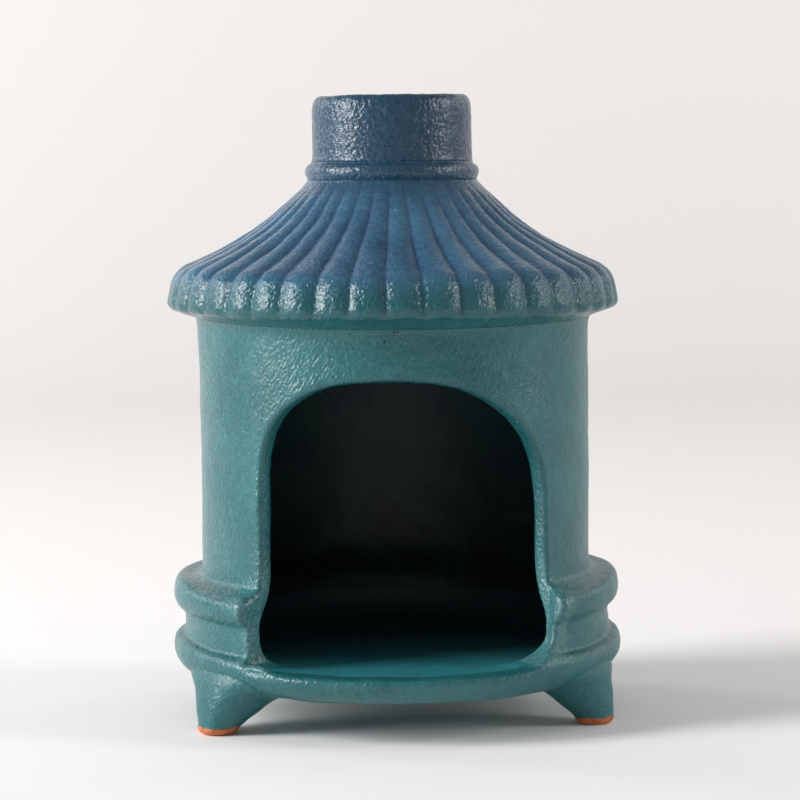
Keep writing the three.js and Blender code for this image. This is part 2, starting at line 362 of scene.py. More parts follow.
SEAM = 34.44                                       # tray meets drum, in the waist
LOW = [(66, 15.2), (70.2, 15.3), (73.0, 15.9), (75.3, 17.0), (77.3, 18.6), (78.9, 20.6)]
TRAY_A = np.vstack([
    [(0, 15.2), (40, 15.2)],
    smooth_line(LOW + [(79.9, 22.7), (80.2, 24.4), (79.95, 26.2), (79.3, 27.6), (78.2, 28.4),
                       (77.0, 28.75), (76.3, 29.1), (75.95, 30.0), (75.9, 32), (75.9, SEAM + 4)], 110),
    smooth_line([(69.3, SEAM + 4), (69.25, SEAM), (69.1, 32.5), (68.4, 30.0), (66.9, 27.4), (64.4, 25.2), (61.0, 23.9),
                 (56.5, 23.3), (50, 23.2)], 24),
    [(30, 23.2), (0, 23.2)]])
TRAY_B = np.vstack([
    [(0, 15.2), (40, 15.2)],
    smooth_line(LOW + [(79.6, 21.7), (79.6, 22.5), (79.0, 23.15), (77.8, 23.45), (76, 23.5),
                       (70, 23.4), (60, 23.2)], 60),
    [(50, 23.15), (0, 23.1)]])
RING_UP = [(75.9, SEAM - 4), (75.9, SEAM), (75.9, 36.5), (76.0, 37.5), (76.5, 38.5), (77.4, 39.4), (78.5, 40.6),
           (79.35, 42.0), (79.8, 43.6), (79.9, 45.2), (79.75, 46.9), (79.3, 48.5), (78.4, 49.8),
           (77.0, 50.45), (75.0, 50.35), (73.0, 50.15), (71.5, 50.4), (70.3, 51.4), (69.75, 53.2),
           (69.45, 56), (69.35, 60), (69.35, 75), (69.35, 95), (69.35, 115), (69.45, 130), (69.6, 136.5),
           (69.85, 138.9), (70.15, 139.9), (70.65, 140.7), (71.4, 142), (72, 145)]
DRUM = np.vstack([
    smooth_line(RING_UP, 160),
    smooth_line([(63.3, 145), (63.3, 140.7), (63.3, 100), (63.3, 70), (63.3, 62), (63.5, 57), (64.3, 51),
                 (66.0, 46), (67.9, 42), (69.0, 38.6), (69.25, SEAM), (69.3, SEAM - 4)], 90)])


def spaced(stops):
    """Sample positions from (position, step) stops: the step varies linearly between them."""
    out = [stops[0][0]]
    for (a, da), (b, db) in zip(stops[:-1], stops[1:]):
        n = max(1, int(round((b - a) / (0.5 * (da + db)))))
        t = np.arange(1, n + 1) / n
        w = t + (da - db) / (da + db) * t * (1 - t)
        out += list(a + (b - a) * w)
    return np.array(out)


FRONT = spaced([(-180, 1.0), (-60, 1.0), (-50, .5), (-40, .5), (-33, .9), (33, .9), (40, .5),
                (50, .5), (60, 1.0), (180, 1.0)])[:-1]
THETA = np.radians(FRONT)


def polar(verts, R, Z):
    iu = verts[:, 0]
    th = np.interp(iu, np.arange(len(THETA) + 1), np.r_[THETA, THETA[0] + 2 * np.pi])
    r = np.interp(verts[:, 1], np.arange(len(R)), R)
    z = np.interp(verts[:, 2], np.arange(len(Z)), Z)
    return np.stack([r * np.sin(th), -r * np.cos(th), z], 1), th, r, z


def door_field(R, Z):
    """Distance into the doorway opening over (bearing, radius, height). On the right the
    mouldings were cut back a little further forward than the wall above."""
    t, z = np.meshgrid(THETA, Z, indexing="ij")
    shift = np.radians(2.3) * ease(np.degrees(t), 4, 24)
    plain = polygon_distance(t * DOOR_REF, z, DOOR_MM)
    fore = polygon_distance((t + shift) * DOOR_REF, z, DOOR_MM)
    w = ease(R, 70.5, 76.5)[None, :, None] * (1 - ease(Z, 49, 53))[None, None, :]
    return plain[:, None, :] * (1 - w) + fore[:, None, :] * w


def tray():
    R = spaced([(3, 3.2), (50, 2.6), (60, .8), (70, .75), (82, .75)])
    Z = np.unique(np.r_[spaced([(14.4, .6), (18, .8), (22, .45), (24.2, .45), (30, .6), (33.8, .8)]),
                        33.95, 34.2, SEAM - .01, SEAM + .01, SEAM + .2])
    rr, zz = np.meshgrid(R, Z, indexing="ij")
    A = np.broadcast_to(polygon_distance(rr, zz, TRAY_A)[None], (len(THETA), len(R), len(Z)))
    side = np.degrees(np.abs(THETA))
    rise = 3.5 * (ease(side, 30, 45))[:, None] * ease(R, 71, 77)[None]
    B = np.empty(A.shape)
    for i in range(len(THETA)):
        B[i] = polygon_distance(rr, zz - rise[i][:, None], TRAY_B) if side[i] < 60 else 9.0
    lip = polygon_distance(rr, zz, TRAY_B)
    low = np.minimum(B, lip[None])
    b = -door_field(R, Z)
    F = round_and(A, b, 1.6)
    blend = np.maximum(1.2 * (1 - ease(side, 44, 56)), .01)[:, None, None]
    F = np.where((side < 60)[:, None, None], soft_or(F, low, blend), A)
    F = np.maximum(F, 1000 * (Z - SEAM)[None, None, :])       # a clean level cut
    layer = np.searchsorted(Z, SEAM) - 1
    v, q = surface_nets(F, wrap=True, square=(layer,))
    p, th, r, z = polar(v, R, Z)
    p, q, t = loops_to_caps(p, q)
    return p, q, t


def drum():
    R = spaced([(61.0, .8), (82, .8)])
    Z = np.unique(np.r_[SEAM - .2, SEAM - .01, SEAM + .01, SEAM + .2, SEAM + .5,
                        spaced([(35.4, .75), (48, .7), (52, .6), (57, .85), (62, 1.25), (96, 1.25),
                                (100, 1.0), (125, 1.0), (130, 1.3), (139.6, 1.0)]),
                        140.2, 140.5, 140.738, 140.75, 141.0])
    rr, zz = np.meshgrid(R, Z, indexing="ij")
    A = np.broadcast_to(polygon_distance(rr, zz, DRUM)[None], (len(THETA), len(R), len(Z)))
    b = -door_field(R, Z)
    ring = (1 - ease(Z, 50, 56))[None, None, :]
    F = round_and(A, b, 1.75 - .15 * ring)
    edge = 1000 * np.maximum(SEAM - Z, Z - 140.744)[None, None, :]
    F = np.maximum(F, edge)
    layers = (np.searchsorted(Z, SEAM) - 1, np.searchsorted(Z, 140.744) - 1)
    v, q = surface_nets(F, wrap=True, square=layers)
    p, th, r, z = polar(v, R, Z)
    return p, q


def level_faces(v, q, heights):
    """Faces that lie flat in one of the given levels: they keep a hard edge."""
    z = v[q][:, :, 2]
    flat = np.zeros(len(q), bool)
    for h in heights:
        flat |= (np.abs(z - h) < .012).all(1)
    return flat


def ring_grid(section, n, close=True):
    """Revolves a closed section (list of r, z) over n columns."""
    th = np.linspace(-np.pi, np.pi, n, endpoint=False)
    s = np.asarray(section, float)
    m = len(s)
    r = np.broadcast_to(s[:, 0], (n, m))
    z = np.broadcast_to(s[:, 1], (n, m))
    p = np.stack([r * np.sin(th)[:, None], -r * np.cos(th)[:, None], z + 0 * r], 2).reshape(-1, 3)
    i = np.arange(n)[:, None]
    j = np.arange(m if close else m - 1)[None]
    a = i * m + j
    b = ((i + 1) % n) * m + j
    c = ((i + 1) % n) * m + (j + 1) % m
    d = i * m + (j + 1) % m
    q = np.stack([a, b, c, d], -1).reshape(-1, 4)
    return p, q, np.repeat(th, m), np.tile(np.arange(m), n)


RIBS = 40
ROOF_LIP = [(70.7, 140.75), (71.3, 141.1), (72.4, 141.6), (74.6, 142.6), (77.0, 143.7), (78.5, 144.5), (79.4, 145.3),
            (80.0, 146.4), (80.2, 147.7), (79.95, 149.6), (79.5, 151.8), (79.05, 153.9),
            (78.6, 155.4), (78.0, 156.8), (77.1, 158.0), (75.9, 159.2), (74.2, 160.4), (71.2, 161.75),
            (68.0, 163.2), (65.0, 164.65), (62.1, 166.1), (59.5, 167.5), (56.8, 168.9), (54.2, 170.35),
            (52.0, 171.8), (49.8, 173.2), (47.8, 174.6), (45.8, 176.05), (43.9, 177.5), (42.1, 178.9),
            (40.6, 180.3), (38.95, 181.75), (37.3, 183.2), (35.8, 184.6), (34.3, 186.0),
            (33.0, 187.1), (31.95, 188.2), (31.05, 189.2), (30.45, 190.05), (30.15, 190.75)]


def roof():
    outer = smooth_line(ROOF_LIP, 96)
    inner = smooth_line([(24.9, 190.75), (24.0, 188.5), (23.0, 186.0), (26.5, 182.2), (33, 177.4),
                         (43, 170.5), (52, 164.6), (60, 159.8), (63.6, 156.8), (64.3, 153.0),
                         (64.3, 146.0), (64.3, 140.75)], 22)
    section = np.vstack([outer, inner])
    per = 18
    n = RIBS * per
    p, q, th, row = ring_grid(section, n)
    m = len(section)
    # signed position across each rib, 0 at the crest and 1 at the grooves,
    # with the grooves set out by hand and so a little uneven
    g = np.random.default_rng(41)
    jitter = g.normal(0, 0.32, RIBS)
    depth = 1 + g.normal(0, 0.10, RIBS)
    deg = np.degrees(th)
    pitch = 360.0 / RIBS
    z0 = section[row, 1]
    drift = 0.35 * np.sin((z0 - 146) / 9.0 + 3 * th) * np.clip((z0 - 150) / 25, 0, 1)
    u = (deg + drift) / pitch - 0.5
    k = np.floor(u).astype(int)
    f = u - k
    a = (jitter[k % RIBS]) / pitch
    b = (jitter[(k + 1) % RIBS]) / pitch
    f = (f - a) / (1 + b - a)                 # 0 and 1 at the two grooves
    x = np.abs(2 * f - 1)
    x = np.clip(x, 0, 1.2)
    groove = np.where(x < 1, x, 2 - x) ** 2.3
    side = np.where(f < 0.5, depth[k % RIBS], depth[(k + 1) % RIBS])
    o = np.arange(len(outer))
    zo, ro = outer[:, 1], outer[:, 0]
    amp = np.interp(ro, [30.5, 32.5, 36, 42, 50, 60, 90], [0.0, 0.12, 0.42, 0.85, 1.15, 1.35, 1.45])
    amp = np.where(zo < 160, np.interp(zo, [144.2, 144.9, 146.2, 147.4], [0, 0.25, 1.15, 1.4]), amp)
    amp = np.r_[amp, np.zeros(len(inner))]
    tan = np.gradient(outer, axis=0)
    tan /= np.linalg.norm(tan, axis=1)[:, None]
    nr = np.r_[-tan[:, 1], np.zeros(len(inner))]     # inward normal of the section
    nz = np.r_[tan[:, 0], np.zeros(len(inner))]
    d = amp[row] * groove * side
    r = section[row, 0] + d * nr[row]
    z = z0 + d * nz[row]
    p = np.stack([r * np.sin(th), -r * np.cos(th), z], 1)
    skin = (row < len(outer)).astype(float)
    mask = groove * np.clip(amp[row] / 1.2, 0, 1) * skin
    return p, q, mask, skin


def collar():
    bead = smooth_line([(30.13, 190.765), (30.35, 191.3), (30.75, 192.1), (30.95, 193.1), (30.9, 194.0),
                        (30.65, 194.85), (30.2, 195.5), (29.5, 196.0), (28.9, 196.5), (28.72, 196.98)], 26)
    return ring_grid(np.vstack([bead, [(27.5, 196.98), (26.2, 196.9), (26.0, 194), (26.2, 190.9),
                                       (28.0, 190.8)]]), 288)


def pipe():
    out = smooth_line([(28.7, 196.995), (28.55, 197.6), (28.4, 199), (28.35, 203), (28.3, 209),
                       (28.3, 213.5), (28.15, 216.4), (27.6, 218.6), (26.7, 219.8), (25.5, 220.3),
                       (24.3, 220.05), (23.3, 219.3), (22.7, 217.8), (22.5, 216.0), (22.5, 210),
                       (22.5, 200), (22.5, 189.5)], 78)
    return ring_grid(np.vstack([out, [(23.5, 189.0), (24.6, 189.5), (24.7, 191.2), (25.8, 191.6),
                                      (25.9, 196.2), (27.6, 196.98)]]), 300)


# bearing, centre radius, half width, growth and lean per mm of height, seed
FEET = {"front_left_foot": (-58.2, 76.4, 7.5, 0.74, 0.78, 31),
        "front_right_foot": (61.7, 75.7, 7.0, 0.59, 0.69, 32),
        "rear_foot": (182.5, 73.2, 7.0, 0.55, 0.62, 33)}
FOOT_ROOM = np.array([(0, -9), (87, -9), (86, 6), (85.4, 11), (84.3, 14.2), (82.8, 17.0), (80.9, 19.4),
                      (78.8, 21.6), (0, 21.6)], float)


def foot(bearing, centre, wide, growth, lean, seed):
    b = math.radians(bearing)
    ux, uy = math.sin(b), -math.cos(b)                # outwards
    step = 0.6
    c0 = centre - 10.5
    xs = np.arange(-26, 26.01, step)
    zs = np.unique(np.r_[-0.5, -0.04, 0.04, spaced([(0.25, .3), (3.0, .5), (22.5, .7)])])
    X, Y, Z = np.meshgrid(xs, xs, zs, indexing="ij")  # X outwards, Y across
    rad = c0 + X
    cx = centre - lean * np.maximum(0, Z - 2.2)
    turn = np.arctan2(Y, rad - cx)
    wob = 0.28 * np.sin(3 * turn + seed) + 0.16 * np.sin(5 * turn + 2 * seed)
    low = np.sqrt(np.clip(1 - ((3.2 - np.clip(Z, 0, 3.2)) / 3.2) ** 2.2, 0, 1)) * (wide - 4.3) + 4.3
    half = np.where(Z > 2.8, wide + growth * (Z - 2.8), low) + wob * np.clip(Z / 6, 0.15, 1)
    d = np.sqrt((rad - cx) ** 2 + Y ** 2) - half
    F = d / math.sqrt(1 + (0.5 * (growth + lean)) ** 2)
    rr = np.sqrt((c0 + X) ** 2 + Y ** 2)
    F = round_and(F, polygon_distance(rr, Z, FOOT_ROOM), 4.0)
    T = polygon_distance(rr, Z, TRAY_A)
    away = np.sqrt(X ** 2 + Y ** 2)
    sink = 0.05 + 1.8 * ease(Z, 17.5, 22.0) + 1.6 * ease(away, 20.0, 25.0)
    F = soft_or(F, T + sink, 6.4)
    F = np.maximum(np.maximum(F, away - 25.2), Z - 22.0)
    F = np.maximum(F, -Z)
    v, q = surface_nets(F)
    lx = np.interp(v[:, 0], np.arange(len(xs)), xs)
    ly = np.interp(v[:, 1], np.arange(len(xs)), xs)
    lz = np.interp(v[:, 2], np.arange(len(zs)), zs)
    px = (c0 + lx) * ux - ly * uy
    py = (c0 + lx) * uy + ly * ux
    return np.stack([px, py, lz], 1), q


def blob(v, bearing, radius, height, size, rise):
    """A soft drop of glaze standing proud of the skin."""
    b = math.radians(bearing)
    c = np.array([radius * math.sin(b), -radius * math.cos(b), height])
    d = np.linalg.norm((v - c) / np.asarray(size), axis=1)
    return rise * np.exp(-d ** 2 * 2.2)


# -------------------------------------------------------------- build pieces

def piece(name, v, q, node, t=None, swell=0.0, groove=None, flat=None, open_z=(-1, 999)):
    v2 = v + normals_of(v, q, t) * np.broadcast_to(swell, len(v))[:, None]
    shown = np.clip(np.minimum(v[:, 2] - open_z[0], open_z[1] - v[:, 2]) / .8, 0, 1)
    return make(name, v2, q, node, tris=t, flat=flat,
                attrs={"bend": bend_measure(v2, q) * shown, "groove": np.zeros(len(v)) if groove is None else groove})


v, q, t = tray()
outward = -1.0 if np.einsum("ij,ij->", v, normals_of(v, q, t)) < 0 else 1.0
body = np.clip((SEAM - v[:, 2]) / 2.0, 0, 1) * ease(np.hypot(v[:, 0], v[:, 1]), 55, 66)
swell = waves(v, (18, 50), 0.12, 11) + waves(v, (5, 10), 0.03, 12)
swell += outward * (blob(v, 3.7, 76.4, 23.6, (1.7, 1.2, 1.2), .5) + blob(v, -11.6, 78.2, 17.6, (.9, 3, 2.6), -.45)
                    + blob(v, -13.6, 78.2, 17.8, (1.2, 3, 2.6), .3) + blob(v, 17.0, 79.3, 20.2, (1.6, 1.6, 1.0), .2))
piece("base_tray_glazed", v, q, "base_tray", t, swell * body, open_z=(-1, 33.6),
      flat=level_faces(v, q, [SEAM - .01]))

v, q = drum()
hold = np.clip(np.minimum(v[:, 2] - SEAM, 140.7 - v[:, 2]) / 2.0, 0, 1)
piece("firebox_drum_glazed", v, q, "firebox_drum",
      swell=(waves(v, (22, 60), 0.15, 21) + waves(v, (5, 11), 0.03, 22)) * hold, open_z=(35.4, 139.6),
      flat=level_faces(v, q, [SEAM + .01, 140.739]))

v, q, mask, skin = roof()
m = len(v) // (RIBS * 18)
hold = np.clip((v[:, 2] - 140.8) / 2.0, 0, 1) * np.clip((190.7 - v[:, 2]) / 3.0, 0, 1)
band = np.clip((158 - v[:, 2]) / 6, 0, 1)
piece("roof_cone_glazed", v, q, "roof_cone",
      swell=(waves(v, (14, 40), 0.13, 31) + waves(v, (4, 9), 0.035, 32)
             + waves(v, (2.2, 4.0), 0.035, 33, 60) * band) * hold * skin, groove=mask,
      flat=np.isin(np.arange(len(q)) % m, [95, m - 1]), open_z=(141.4, 189.6))

v, q, th, row = collar()
piece("chimney_collar_glazed", v, q, "chimney_collar",
      swell=(waves(v, (9, 26), 0.07, 41) + waves(v, (2.5, 4.5), 0.03, 42, 60)) * np.clip((v[:, 2] - 190.8) / 1.5, 0, 1)
      * np.clip((196.9 - v[:, 2]) / .8, 0, 1), flat=np.arange(len(q)) % 31 >= 25, open_z=(191.2, 196))

v, q, th, row = pipe()
rim = np.clip((v[:, 2] - 214) / 5, 0, 1)
v[:, 2] += rim * waves(v, (16, 34), 0.045, 52)
piece("chimney_pipe_glazed", v, q, "chimney_pipe",
      swell=(waves(v, (14, 34), 0.06, 51) + waves(v, (2.4, 4.6), 0.04, 53, 60)) * np.clip((v[:, 2] - 197.1) / 2, 0, 1),
      flat=np.arange(len(q)) % 84 >= 77, open_z=(197.6, 999))

for name, (bearing, centre, wide, growth, lean, seed) in FEET.items():
    v, q = foot(bearing, centre, wide, growth, lean, seed)
    piece(name + "_glazed", v, q, name,
          swell=waves(v, (6, 16), 0.09, seed) * np.clip(v[:, 2] / 3, 0, 1) * np.clip((17 - v[:, 2]) / 4, 0, 1),
          flat=level_faces(v, q, [0.0]))


# ------------------------------------------------------------------ materials

def srgb(*c):
    return tuple(((x / 255 + .055) / 1.055) ** 2.4 if x > 10 else x / 255 / 12.92 for x in c) + (1.0,)


class Net:
    """Short forms for wiring a shader."""

    def __init__(self, name):
        self.mat = bpy.data.materials.new(name)
        self.mat.use_nodes = True
        self.nt = self.mat.node_tree
        self.bsdf = self.nt.nodes["Principled BSDF"]
        tc = self.nt.nodes.new("ShaderNodeTexCoord")
        self.P = self.vec("SCALE", tc.outputs["Object"], scale=1 / (MM * K))
        sep = self.nt.nodes.new("ShaderNodeSeparateXYZ")
        self.nt.links.new(self.P, sep.inputs[0])
        self.x, self.y, self.z = sep.outputs
        self.r = self.op("SQRT", self.op("ADD", self.op("MULTIPLY", self.x, self.x),
                                         self.op("MULTIPLY", self.y, self.y)))

    def put(self, socket, value):
        if isinstance(value, bpy.types.NodeSocket):
            self.nt.links.new(value, socket)
        else:
            socket.default_value = value

    def op(self, kind, a, b=0.0, c=0.0, clamp=False):
        n = self.nt.nodes.new("ShaderNodeMath")
        n.operation, n.use_clamp = kind, clamp
        for k, v_ in enumerate((a, b, c)):
            self.put(n.inputs[k], v_)
        return n.outputs[0]

    def vec(self, kind, a, b=None, scale=None):
        n = self.nt.nodes.new("ShaderNodeVectorMath")
        n.operation = kind
        self.put(n.inputs[0], a)
        if b is not None:
            self.put(n.inputs[1], b)
        if scale is not None:
            self.put(n.inputs["Scale"], scale)
        return n.outputs[0]

    def step(self, x, a, b, lo=0.0, hi=1.0):
        n = self.nt.nodes.new("ShaderNodeMapRange")
        n.interpolation_type = "SMOOTHSTEP"
        for k, v_ in enumerate((x, a, b, lo, hi)):
            self.put(n.inputs[k], v_)
        return n.outputs[0]

    def noise(self, size, detail=2.0, rough=0.5, P=None, distortion=0.0, lac=2.0):
        n = self.nt.nodes.new("ShaderNodeTexNoise")
        self.put(n.inputs["Vector"], self.P if P is None else P)
        n.inputs["Scale"].default_value = 1.0 / size
        n.inputs["Detail"].default_value = detail
        n.inputs["Roughness"].default_value = rough
        n.inputs["Lacunarity"].default_value = lac
        n.inputs["Distortion"].default_value = distortion
        return n.outputs[0]

    def mix(self, fac, a, b, kind="MIX"):
        n = self.nt.nodes.new("ShaderNodeMix")
        n.data_type, n.blend_type = "RGBA", kind
        self.put(n.inputs[0], fac)
        self.put(n.inputs[6], a)
        self.put(n.inputs[7], b)
        return n.outputs[2]

    def attr(self, name):
        n = self.nt.nodes.new("ShaderNodeAttribute")
        n.attribute_name = name
        return n.outputs["Fac"]

    def spots(self, size, radius, share, shift=0.0):
        """Sparse round spots: radius and size in mm, share of the cells that have one."""
        n = self.nt.nodes.new("ShaderNodeTexVoronoi")
        self.put(n.inputs["Vector"], self.vec("ADD", self.P, (shift, shift * .7, shift * 1.3)))
        n.inputs["Scale"].default_value = 1.0 / size
        sep = self.nt.nodes.new("ShaderNodeSeparateColor")
        self.nt.links.new(n.outputs["Color"], sep.inputs[0])
        inside = self.step(n.outputs["Distance"], radius * 1.25 / size, radius * .7 / size)
        return self.op("MULTIPLY", inside, self.op("LESS_THAN", sep.outputs[0], share))

    def twisted(self, per_mm, squash):
        """Coordinates sheared round the axis: long grains run up and to the right."""
        rot = self.nt.nodes.new("ShaderNodeVectorRotate")
        rot.rotation_type = "Z_AXIS"
        self.put(rot.inputs["Vector"], self.P)
        self.put(rot.inputs["Angle"], self.op("MULTIPLY", self.z, -per_mm))
        return self.vec("MULTIPLY", rot.outputs[0], (1.0, 1.0, squash))

    def dot(self, bearing, radius, height, size):
        """One round mark at a place on the skin."""
        b = math.radians(bearing)
        n = self.nt.nodes.new("ShaderNodeVectorMath")
        n.operation = "DISTANCE"
        self.put(n.inputs[0], self.P)
        n.inputs[1].default_value = (radius * math.sin(b), -radius * math.cos(b), height)
        return self.step(n.outputs["Value"], size * 1.25, size * .7)

    def bump(self, height, mm, normal=None):
        n = self.nt.nodes.new("ShaderNodeBump")
        n.inputs["Distance"].default_value = mm * MM * K
        n.inputs["Strength"].default_value = 1.0
        self.put(n.inputs["Height"], height)
        if normal is not None:
            self.put(n.inputs["Normal"], normal)
        return n.outputs[0]


LOOK = {
    "teal_dark": srgb(25, 90, 95), "teal": srgb(38, 107, 111), "teal_light": srgb(92, 146, 146),
    "blue_dark": srgb(42, 82, 110), "blue": srgb(62, 106, 136), "blue_light": srgb(96, 136, 156),
    "brown": srgb(136, 94, 60), "clay": srgb(214, 126, 78), "clay_dark": srgb(168, 90, 54),
}
# height in mm of each kind of relief, and gloss, piece by piece
STROKE_MM = {"drum": .26, "tray": .28, "foot": .26, "roof": .22, "pipe": .08}
PEEL_MM = {"drum": .26, "tray": .30, "foot": .26, "roof": .26, "pipe": .14}
WRINKLE_MM = {"drum": 0, "tray": 0, "foot": 0, "roof": .44, "pipe": .46}
GLOSS = {"drum": .26, "tray": .30, "foot": .36, "roof": .20, "pipe": .22}
WORN = {"drum": (.07, .12), "tray": (.052, .09), "foot": (.09, .14), "roof": (.16, .34), "pipe": (.3, .5)}


def glaze(name, part):
    g = Net(name)
    bend, groove = g.attr("bend"), g.attr("groove")
    big = g.noise(26, 3, .55)
    mid = g.noise(7, 3, .6)
    small = g.noise(2.2, 3, .6)
    fine = g.noise(.62, 2, .65)
    long_P = g.twisted(.0095, .36)
    stroke = g.noise(1.1, 1.5, .5, P=long_P)
    wrinkle = g.noise(1.45, 2.0, .5, distortion=.4)
    peel = g.noise(1.25, 1.2, .5, distortion=.2)
    turn = g.op("ABSOLUTE", g.op("ARCTAN2", g.x, g.op("MULTIPLY", g.y, -1.0)))
    behind = g.step(turn, math.radians(46.2), math.radians(48.2))      # past the jambs

    # how blue the glaze runs: the drum is teal, the roof and chimney are blue
    height = g.op("ADD", g.z, g.op("MULTIPLY", g.op("SUBTRACT", mid, .5), 9.0))
    blue = g.step(height, 145.0, 163.0)
    top = g.step(height, 176.0, 199.0)
    tone = g.op("ADD", g.op("MULTIPLY", big, .55), g.op("MULTIPLY", small, .45))
    teal = g.mix(g.step(tone, .36, .66), LOOK["teal_dark"], LOOK["teal"])
    blues = g.mix(g.step(tone, .36, .66), LOOK["blue_dark"], LOOK["blue"])
    blues = g.mix(g.op("MULTIPLY", top, .85), blues, srgb(22, 54, 76))
    col = g.mix(blue, teal, blues)
    # paler crystals along the grain of the brush
    pale = g.mix(blue, LOOK["teal_light"], LOOK["blue_light"])
    col = g.mix(g.op("MULTIPLY", g.step(stroke, .52, .74), .13), col, pale)
    col = g.mix(g.op("MULTIPLY", g.step(mid, .5, .78), .07), col, pale)
    col = g.mix(g.op("MULTIPLY", g.step(fine, .45, .25), .22), col, g.mix(blue, srgb(12, 62, 70), srgb(14, 44, 76)))
    # pooled glaze is deeper in the hollows, thin and brown on the edges
    pooled = g.op("MULTIPLY", g.step(bend, -.015, -.10), .38)
    if part in ("drum", "roof"):      # the joint under the eave is wiped smooth, with no pool in it
        pooled = g.op("MULTIPLY", pooled, g.step(g.op("ABSOLUTE", g.op("SUBTRACT", g.z, 140.75)), .4, 1.8))
    col = g.mix(pooled, col, g.mix(blue, srgb(10, 66, 76), srgb(12, 46, 86)))
    col = g.mix(g.op("MULTIPLY", groove, .35), col, g.mix(blue, srgb(14, 66, 74), srgb(18, 54, 96)))
    worn = g.op("MULTIPLY", g.step(bend, *WORN[part]), g.step(small, .40, .60))
    worn = g.op("MULTIPLY", worn, g.step(g.r, 71.0, 74.5)) if part in ("drum", "tray") else worn
    col = g.mix(g.op("MULTIPLY", worn, .6), col, LOOK["brown"])
    rough = g.op("ADD", GLOSS[part], g.op("MULTIPLY", g.op("SUBTRACT", small, .5), .16))
    if part == "roof":
        low_band = g.op("MULTIPLY", g.op("MULTIPLY", g.step(g.z, 158, 152), g.step(g.z, 142.2, 145.0)), .50)
        col = g.mix(low_band, col, srgb(22, 78, 86))
        tip = g.op("MULTIPLY", g.step(g.z, 146.2, 143.4), g.step(g.z, 141.4, 142.6))
        tip = g.op("MULTIPLY", tip, g.op("MULTIPLY", g.step(groove, .08, .3), g.step(small, .42, .62)))
        col = g.mix(g.op("MULTIPLY", tip, .55), col, srgb(140, 96, 62))
        crease = g.step(g.z, 142.0, 141.2)
        col = g.mix(g.op("MULTIPLY", crease, .05), col, srgb(64, 74, 66))
        lit = g.op("MULTIPLY", g.step(g.z, 164, 158), g.step(g.z, 145, 148))
    elif part == "pipe":
        lit = 1.0
    else:
        lit = 0.0
    if part == "drum":
        crease = g.op("MULTIPLY", g.step(g.z, 139.6, 140.6), g.step(small, .35, .6))
        col = g.mix(g.op("MULTIPLY", crease, .08), col, srgb(84, 82, 66))
        pores = g.op("MULTIPLY", g.step(g.z, 138.9, 139.9), g.spots(3.1, .50, .16, 3))
        for at, up, size in ((-9.7, 140.1, .40), (-8.4, 140.2, .36), (-7.6, 140.1, .40), (-5.2, 140.0, .42),
                             (-2.9, 140.2, .66), (-1.9, 140.2, .60), (-5.6, 136.7, .46), (-15.2, 139.6, .36)):
            pores = g.op("MAXIMUM", pores, g.dot(at, 70.0, up, size))
        col = g.mix(g.op("MULTIPLY", g.dot(-56.5, 69.4, 107.0, .8), .8), col, srgb(66, 66, 122))
        col = g.mix(pores, col, srgb(4, 26, 28))
        # painted highlight: the door's cut faces and the moulding ends up to about 60 mm are painted pale grey-teal
        # with a stipple, standing in for the side lamp's sheen on them
        painted_jamb_highlight = g.op("MULTIPLY", g.op("MAXIMUM", g.step(g.r, 69.4, 68.6), g.step(g.z, 51.0, 49.0)),
                    g.op("SUBTRACT", 1.0, behind))
        painted_jamb_highlight = g.op("MULTIPLY", painted_jamb_highlight, g.step(g.z, 66.0, 54.0))
        painted_jamb_highlight = g.op("MULTIPLY", painted_jamb_highlight, g.op("ADD", .14, g.op("MULTIPLY", g.step(peel, .42, .62), .24)))
        col = g.mix(painted_jamb_highlight, col, srgb(118, 156, 158))
        # painted shade: the inside is painted dark, darkest low down and lighter towards the top, with faint smudged
        # swirls, and reads as one hollow from floor to roof
        wall = g.step(g.r, 67.4, 65.0)
        low = g.op("MULTIPLY", g.step(g.r, 71.6, 69.4), g.step(g.z, 51.5, 48.5))
        inner = g.op("MAXIMUM", g.op("MULTIPLY", wall, g.op("MAXIMUM", behind, g.step(g.z, 122.5, 125.5))),
                     g.op("MULTIPLY", low, behind))
        interior_shade_and_smudge = g.mix(g.step(g.z, 45, 132), srgb(6, 22, 25), srgb(22, 58, 62))
        swirl = g.noise(42, 3, .55, distortion=1.8)
        interior_shade_and_smudge = g.mix(g.op("MULTIPLY", g.step(swirl, .44, .60), .5), interior_shade_and_smudge, srgb(26, 56, 52))
        col = g.mix(inner, col, interior_shade_and_smudge)
    if part == "tray":
        floor = g.op("MULTIPLY", g.step(g.r, 73.5, 71.0), g.step(g.z, 21.0, 22.5))
        floor = g.op("MULTIPLY", floor, g.op("MAXIMUM", behind, g.step(g.z, 25.4, 24.2)))
        inner = g.op("MULTIPLY", floor, g.step(g.z, 23.7, 25.5))
        # painted shade: the floor is painted bright teal at the doorway and dark towards the back, with a faint mottle
        painted_floor_shade = g.mix(g.step(g.op("ADD", g.y, g.op("MULTIPLY", g.op("SUBTRACT", big, .5), 24.0)), 40, -72),
                     srgb(14, 54, 62), srgb(30, 122, 130))
        painted_floor_shade = g.mix(g.op("MULTIPLY", g.step(mid, .4, .7), .25), painted_floor_shade, srgb(12, 74, 84))
        col = g.mix(floor, col, painted_floor_shade)
        # painted highlight: the cut ends of the lower moulding beside the doorway are painted pale grey-teal with a
        # stipple, standing in for the side lamp's sheen on them
        cut = g.op("MULTIPLY", g.step(g.z, 24.8, 25.6), g.op("SUBTRACT", 1.0, behind))
        cut = g.op("MULTIPLY", cut, g.op("ADD", .14, g.op("MULTIPLY", g.step(peel, .42, .62), .24)))
        col = g.mix(cut, col, srgb(118, 156, 158))
